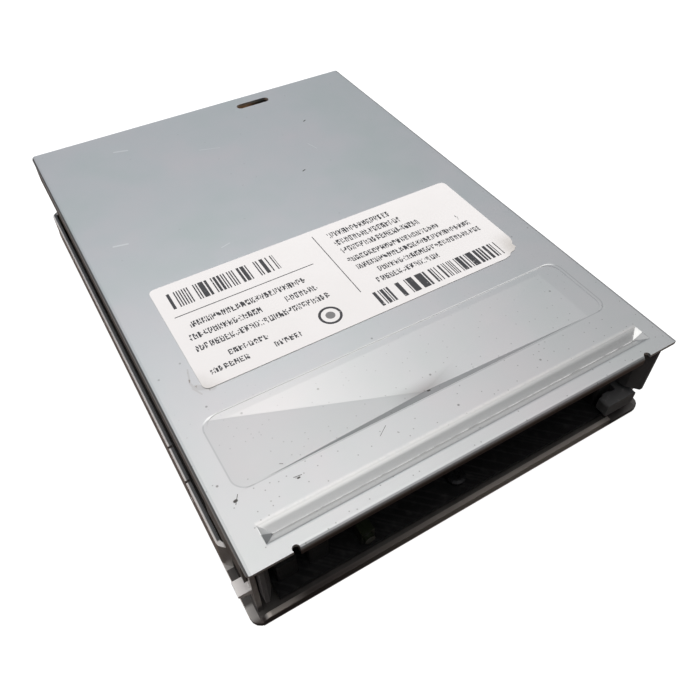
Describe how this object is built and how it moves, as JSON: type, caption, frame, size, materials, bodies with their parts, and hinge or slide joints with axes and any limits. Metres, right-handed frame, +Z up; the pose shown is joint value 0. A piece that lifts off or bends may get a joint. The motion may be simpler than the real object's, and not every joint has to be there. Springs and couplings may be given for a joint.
{
  "type": "floppy disk drive",
  "caption": "Slim bezel-less 3.5-inch disk drive: stamped steel tray and lid round a drop-down disk carrier, eject slide, spindle motor and screw-driven head carriage",
  "frame": {"origin": "centre of the bounding box in plan, on the underside of the tray", "axes": "+X to the right seen from the disk slot, +Y from the slot to the connectors, +Z up through the lid"},
  "size_m": [0.103, 0.145, 0.0254],
  "materials": {
    "cover_steel": "zinc-plated sheet, satin",
    "chassis_steel": "plated sheet, satin with a warm cast",
    "carrier_steel": "plated sheet, semi-bright",
    "bright_steel": "ground or drawn, bright",
    "screw_steel": "plated",
    "black_plastic": "moulded, fine grain",
    "grey_plastic": "moulded, satin",
    "ivory_plastic": "moulded, satin",
    "cast_aluminium": "die cast, as cast",
    "turntable_brass": "turned",
    "winding_copper": "enamelled wire on steel poles",
    "head_ceramic": "polished",
    "green_board": "solder mask",
    "black_board": "black lacquer over a steel-backed board",
    "amber_film": "polyimide film",
    "magnet_black": "bonded ferrite",
    "smoky_lens": "smoky tinted lens"
  },
  "bodies": {
    "root": {"top_cover": "cover_steel", "stepper_motor": "cover_steel", "stepper_bracket": "cover_steel", "chassis": "chassis_steel", "guide_rod": "bright_steel", "rod_clamp_front": "bright_steel", "rod_clamp_rear": "bright_steel", "motor_board_screw_1": "screw_steel", "motor_board_screw_2": "screw_steel", "motor_board_screw_3": "screw_steel", "main_board_screw_1": "screw_steel", "main_board_screw_2": "screw_steel", "main_board_screw_3": "screw_steel", "stepper_screw_left": "screw_steel", "stepper_screw_right": "screw_steel", "rod_clamp_screw_front": "screw_steel", "rod_clamp_screw_rear": "screw_steel", "write_protect_switch": "black_plastic", "density_switch": "black_plastic", "disk_in_switch": "black_plastic", "index_sensor": "black_plastic", "controller_chip": "black_plastic", "driver_chip": "black_plastic", "data_connector": "black_plastic", "track_zero_sensor": "black_plastic", "flex_connector": "black_plastic", "left_entry_guide": "grey_plastic", "right_entry_guide": "grey_plastic", "lead_screw_bearing": "ivory_plastic", "power_connector": "ivory_plastic", "rod_seat_front": "cast_aluminium", "rod_seat_rear": "cast_aluminium", "spindle_bush": "turntable_brass", "spindle_stator": "winding_copper", "main_board": "green_board", "spindle_motor_board": "black_board", "head_flex": "amber_film", "motor_flex": "amber_film", "activity_led": "smoky_lens"},
    "slide": {"eject_slide": "carrier_steel", "eject_button": "grey_plastic", "slide_spring_left": "bright_steel", "slide_spring_right": "bright_steel"},
    "carrier": {"disk_carrier": "carrier_steel", "lever_rivet": "bright_steel"},
    "lever": {"shutter_lever": "bright_steel"},
    "carriage": {"head_carriage": "cast_aluminium", "screw_follower": "ivory_plastic", "lower_head": "head_ceramic"},
    "arm": {"head_arm": "cover_steel", "upper_head": "head_ceramic"},
    "screw": {"lead_screw": "bright_steel"},
    "spindle": {"spindle_rotor": "cover_steel", "rotor_magnet": "magnet_black", "turntable": "turntable_brass", "drive_pin": "bright_steel", "spindle_shaft": "bright_steel"},
    "write_protect": {"write_protect_plunger": "ivory_plastic"},
    "density": {"density_plunger": "ivory_plastic"},
    "disk_in": {"disk_in_plunger": "ivory_plastic"}
  },
  "joints": [
    {"name": "eject_slide_travel", "type": "slide", "parent": "root", "child": "slide", "axis": [0, -1, 0], "range_m": [0, 0.007], "deforming": ["slide_spring_left", "slide_spring_right"]},
    {"name": "carrier_drop", "type": "slide", "parent": "root", "child": "carrier", "axis": [0, 0, -1], "range_m": [0, 0.0035]},
    {"name": "shutter_lever_turn", "type": "hinge", "parent": "carrier", "child": "lever", "pos_m": [-0.038, 0.0215, 0.0205], "axis": [0, 0, 1], "range_deg": [0, 76.5], "stiffness_Nm_per_rad": 0.002},
    {"name": "lead_screw_turn", "type": "hinge", "parent": "root", "child": "screw", "pos_m": [-0.012, 0.04, 0.0122], "axis": [0, 1, 0], "range_deg": [0, 1422]},
    {"name": "carriage_travel", "type": "slide", "parent": "root", "child": "carriage", "axis": [0, -1, 0], "range_m": [0, 0.01481], "deforming": ["head_flex"]},
    {"name": "head_arm_lower", "type": "hinge", "parent": "carriage", "child": "arm", "pos_m": [0, 0.049, 0.0145], "axis": [1, 0, 0], "range_deg": [0, 12]},
    {"name": "spindle_turn", "type": "hinge", "parent": "root", "child": "spindle", "pos_m": [0, -0.0225, 0.008], "axis": [0, 0, 1], "continuous": true},
    {"name": "write_protect_press", "type": "slide", "parent": "root", "child": "write_protect", "axis": [0, 0, -1], "range_m": [0, 0.0011], "stiffness_N_per_m": 150, "springref_m": -0.0004},
    {"name": "density_press", "type": "slide", "parent": "root", "child": "density", "axis": [0, 0, -1], "range_m": [0, 0.0011], "stiffness_N_per_m": 150, "springref_m": -0.0004},
    {"name": "disk_in_press", "type": "slide", "parent": "root", "child": "disk_in", "axis": [0, 0, -1], "range_m": [0, 0.0011], "stiffness_N_per_m": 150, "springref_m": -0.0004}
  ],
  "couplings": [
    {"joint": "carrier_drop", "follows": "eject_slide_travel", "ratio": 0.5},
    {"joint": "head_arm_lower", "follows": "eject_slide_travel", "rad_per_m": 29.919},
    {"joint": "lead_screw_turn", "follows": "carriage_travel", "rad_per_m": 1675.5}
  ]
}
